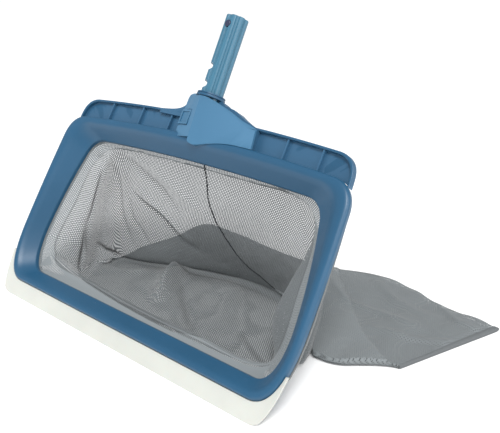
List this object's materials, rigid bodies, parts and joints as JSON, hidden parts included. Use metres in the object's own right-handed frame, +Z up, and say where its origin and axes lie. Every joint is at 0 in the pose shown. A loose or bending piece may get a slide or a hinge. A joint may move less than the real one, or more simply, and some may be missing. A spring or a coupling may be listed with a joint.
{
  "type": "leaf skimmer net",
  "caption": "Leaf skimmer net: a moulded rim with a scraper lip, a deep mesh bag and a short fluted handle for a pole.",
  "frame": {"origin": "middle of the whole object's footprint on the floor", "axes": "+X to the net's left-to-right when seen from its open front, +Y away from the open front, +Z up"},
  "size_m": [0.5772, 0.352, 0.3605],
  "materials": {
    "moulded_blue": "satin moulded polypropylene",
    "moulded_light_blue": "satin moulded polypropylene",
    "moulded_dark_blue": "satin moulded polypropylene",
    "white_lip": "soft off-white elastomer",
    "net_cloth": "fine knitted polyester mesh",
    "steel": "stainless steel",
    "button_navy": "dark nylon"
  },
  "bodies": {
    "net_frame": {"frame_ring": "moulded_blue", "top_flange": "moulded_blue", "scraper_lip": "white_lip", "net_retainer": "moulded_dark_blue", "hem_band": "net_cloth", "hem_cord": "net_cloth", "neck_hood": "moulded_light_blue", "neck_rear_cover": "moulded_blue", "handle_tube": "moulded_light_blue", "handle_cross_pin": "steel", "collar_ring": "moulded_blue", "latch_spring": "steel", "spring_clip": "steel", "bag_floor_panel": "net_cloth", "bag_right_panel": "net_cloth", "bag_top_right_panel": "net_cloth", "bag_top_left_panel": "net_cloth", "bag_left_panel": "net_cloth", "bag_end_binding": "net_cloth", "retainer_screw_1": "steel", "retainer_screw_2": "steel", "retainer_screw_3": "steel", "retainer_screw_4": "steel", "retainer_screw_5": "steel", "retainer_screw_6": "steel", "retainer_screw_7": "steel", "retainer_screw_8": "steel", "retainer_screw_9": "steel", "retainer_screw_10": "steel", "neck_screw_1": "steel", "neck_screw_2": "steel", "neck_screw_3": "steel", "neck_screw_4": "steel"},
    "latch_button": {"latch_button": "moulded_blue"},
    "clip_button_front": {"clip_button_front": "button_navy"},
    "clip_button_rear": {"clip_button_rear": "button_navy"}
  },
  "joints": [
    {"name": "latch_press", "type": "slide", "parent": "net_frame", "child": "latch_button", "axis": [0, 0.8329, -0.5534], "range_m": [0, 0.0025], "stiffness_N_per_m": 400},
    {"name": "clip_press_front", "type": "slide", "parent": "net_frame", "child": "clip_button_front", "axis": [0, 0.872, -0.4894], "range_m": [0, 0.004], "stiffness_N_per_m": 600},
    {"name": "clip_press_rear", "type": "slide", "parent": "net_frame", "child": "clip_button_rear", "axis": [0, -0.872, 0.4894], "range_m": [0, 0.004], "stiffness_N_per_m": 600}
  ]
}
